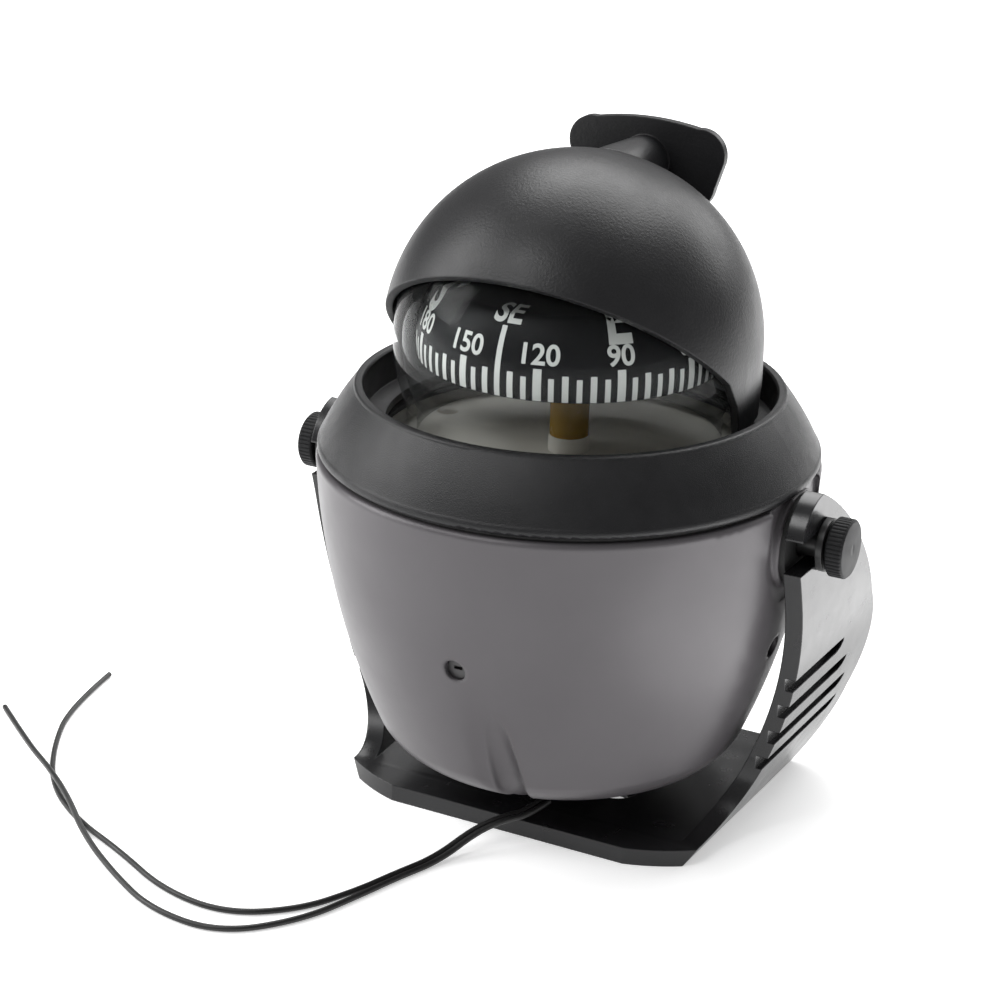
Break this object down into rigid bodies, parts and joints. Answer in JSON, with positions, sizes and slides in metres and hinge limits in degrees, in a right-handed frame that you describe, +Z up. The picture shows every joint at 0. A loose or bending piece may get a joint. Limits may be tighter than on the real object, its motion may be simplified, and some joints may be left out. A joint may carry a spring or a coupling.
{
  "type": "bracket-mount illuminated marine compass",
  "caption": "Liquid-filled binnacle compass with a clear globe, swinging sun hood, tilting housing with side thumb knobs, U-bracket and lamp wires.",
  "frame": {"origin": "on the underside of the bracket, straight below the housing's tilt axis", "axes": "+Z up, -Y towards the reader at the card's lubber side, +X to the right-hand knob"},
  "size_m": [0.1534, 0.1147, 0.1138],
  "materials": {
    "black_moulding": "satin",
    "textured_black": "fine texture",
    "gunmetal": "satin metallic",
    "clear": "clear, polished",
    "hood_black": "semi-gloss",
    "card_print": "black card with off-white print",
    "off_white": "satin",
    "amber": "satin",
    "rubber": "matt",
    "brass": "machined",
    "steel": "brushed",
    "plug_grey": "satin",
    "black_steel": "black coated",
    "magnet": "plated",
    "sapphire": "polished",
    "red_lamp": "clear red",
    "wire_black": "satin"
  },
  "bodies": {
    "bracket": {"bracket": "black_moulding", "wire_a": "wire_black", "wire_b": "wire_black"},
    "housing": {"bowl": "gunmetal", "wire_grommet": "rubber", "rim_gasket": "rubber", "bezel_ring": "textured_black", "dome_seal": "rubber", "dome": "clear", "hood_pins": "steel", "light_floor": "off_white", "fill_plug": "brass", "post_collar": "off_white", "pivot_post": "amber", "pivot_pin": "steel", "diaphragm": "rubber", "diaphragm_ring": "black_moulding", "lamp": "red_lamp", "lamp_socket": "black_moulding", "compensator_frame": "black_moulding", "pivot_inserts": "brass", "friction_washers": "rubber", "housing_screws": "steel"},
    "hood": {"hood": "hood_black", "hood_tab": "hood_black"},
    "card": {"compass_card": "card_print", "card_frame": "off_white", "jewel_cup": "sapphire", "card_magnets": "magnet"},
    "knob_right": {"knob_right": "black_moulding", "knob_screw_right": "black_steel", "knob_washer_right": "black_steel"},
    "knob_left": {"knob_left": "black_moulding", "knob_screw_left": "black_steel", "knob_washer_left": "black_steel"},
    "compensator_front": {"compensator_front": "plug_grey", "compensator_magnet_front": "magnet"},
    "compensator_side": {"compensator_side": "plug_grey", "compensator_magnet_side": "magnet"}
  },
  "joints": [
    {"name": "housing_tilt", "type": "hinge", "parent": "bracket", "child": "housing", "pos_m": [0, 0, 0.0551], "axis": [1, 0, 0], "range_deg": [-25, 25]},
    {"name": "hood_swing", "type": "hinge", "parent": "housing", "child": "hood", "pos_m": [0, 0, 0.082], "axis": [1, 0, 0], "range_deg": [-4, 40]},
    {"name": "card_turn", "type": "hinge", "parent": "housing", "child": "card", "pos_m": [0, 0, 0.082], "axis": [0, 0, 1], "continuous": true},
    {"name": "knob_right_turn", "type": "hinge", "parent": "housing", "child": "knob_right", "pos_m": [0.049, 0, 0.0551], "axis": [1, 0, 0], "continuous": true},
    {"name": "knob_left_turn", "type": "hinge", "parent": "housing", "child": "knob_left", "pos_m": [-0.049, 0, 0.0551], "axis": [-1, 0, 0], "continuous": true},
    {"name": "compensator_front_turn", "type": "hinge", "parent": "housing", "child": "compensator_front", "pos_m": [0, -0.03, 0.0378], "axis": [0, -1, 0], "continuous": true},
    {"name": "compensator_side_turn", "type": "hinge", "parent": "housing", "child": "compensator_side", "pos_m": [0.03, 0, 0.0351], "axis": [1, 0, 0], "continuous": true}
  ]
}
